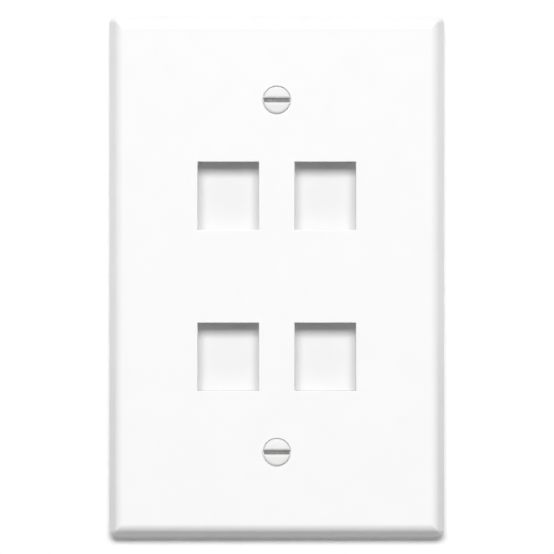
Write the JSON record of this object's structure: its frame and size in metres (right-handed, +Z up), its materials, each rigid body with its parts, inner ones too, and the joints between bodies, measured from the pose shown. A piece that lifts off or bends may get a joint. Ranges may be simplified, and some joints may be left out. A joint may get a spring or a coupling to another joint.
{
  "type": "keystone faceplate",
  "caption": "Single-gang wall plate with bevelled edges and open keystone ports, held by slotted oval-head screws.",
  "frame": {"origin": "in the wall plane, on the rear edge of the rim, midway between the two box screws and in the middle of the plate", "axes": "+X right and +Z up as seen from the front, +Y into the wall, so the face looks along -Y"},
  "size_m": [0.0794, 0.0201, 0.1238],
  "materials": {
    "white_plastic": "semi-gloss moulded white plastic",
    "white_screw": "white enamel on the head, zinc on the thread"
  },
  "bodies": {
    "root": {"faceplate": "white_plastic", "mounting_screw_upper": "white_screw", "mounting_screw_lower": "white_screw"}
  },
  "joints": []
}
